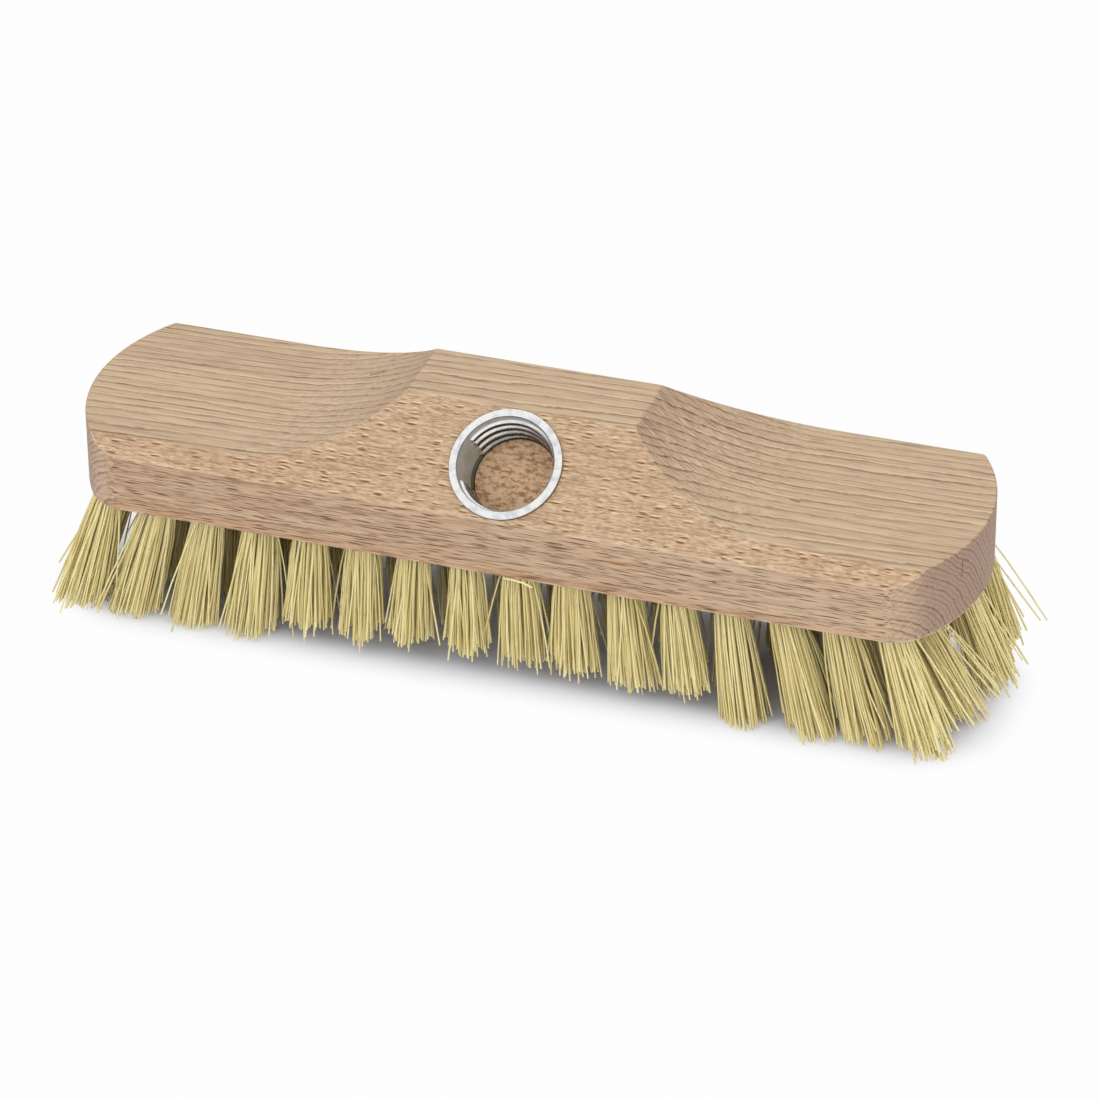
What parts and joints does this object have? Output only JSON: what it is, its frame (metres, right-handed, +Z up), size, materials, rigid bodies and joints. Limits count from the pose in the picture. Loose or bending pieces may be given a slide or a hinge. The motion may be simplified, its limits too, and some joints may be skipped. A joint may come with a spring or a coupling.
{
  "type": "scrub brush",
  "caption": "Wooden scrub brush head with a scooped, bevelled block, rows of leaning plant-fibre tufts and a metal threaded socket in the front bevel for a screw-in handle.",
  "frame": {"origin": "floor under the middle of the block; the tips of the long tufts stand on it", "axes": "+X along the block to the right, +Y from the front face with the socket to the rear, +Z up"},
  "size_m": [0.2442, 0.064, 0.068],
  "materials": {
    "wood": "bare, planed and sanded",
    "bush_metal": "zinc plated, satin",
    "fibre": "raw plant fibre",
    "wire_metal": "bare wire"
  },
  "bodies": {
    "root": {"anchor_wires": "wire_metal", "front_tuft_01": "fibre", "front_tuft_02": "fibre", "front_tuft_03": "fibre", "front_tuft_04": "fibre", "front_tuft_05": "fibre", "front_tuft_06": "fibre", "front_tuft_07": "fibre", "front_tuft_08": "fibre", "front_tuft_09": "fibre", "front_tuft_10": "fibre", "front_tuft_11": "fibre", "front_tuft_12": "fibre", "front_tuft_13": "fibre", "front_tuft_14": "fibre", "front_tuft_15": "fibre", "front_tuft_16": "fibre", "inner_tufts_01": "fibre", "inner_tufts_02": "fibre", "inner_tufts_03": "fibre", "inner_tufts_04": "fibre", "inner_tufts_05": "fibre", "inner_tufts_06": "fibre", "inner_tufts_07": "fibre", "inner_tufts_08": "fibre", "inner_tufts_09": "fibre", "inner_tufts_10": "fibre", "inner_tufts_11": "fibre", "inner_tufts_12": "fibre", "inner_tufts_13": "fibre", "inner_tufts_14": "fibre", "inner_tufts_15": "fibre", "rear_tuft_01": "fibre", "rear_tuft_02": "fibre", "rear_tuft_03": "fibre", "rear_tuft_04": "fibre", "rear_tuft_05": "fibre", "rear_tuft_06": "fibre", "rear_tuft_07": "fibre", "rear_tuft_08": "fibre", "rear_tuft_09": "fibre", "rear_tuft_10": "fibre", "rear_tuft_11": "fibre", "rear_tuft_12": "fibre", "rear_tuft_13": "fibre", "rear_tuft_14": "fibre", "rear_tuft_15": "fibre", "rear_tuft_16": "fibre", "threaded_bush": "bush_metal", "wood_block": "wood"}
  },
  "joints": []
}
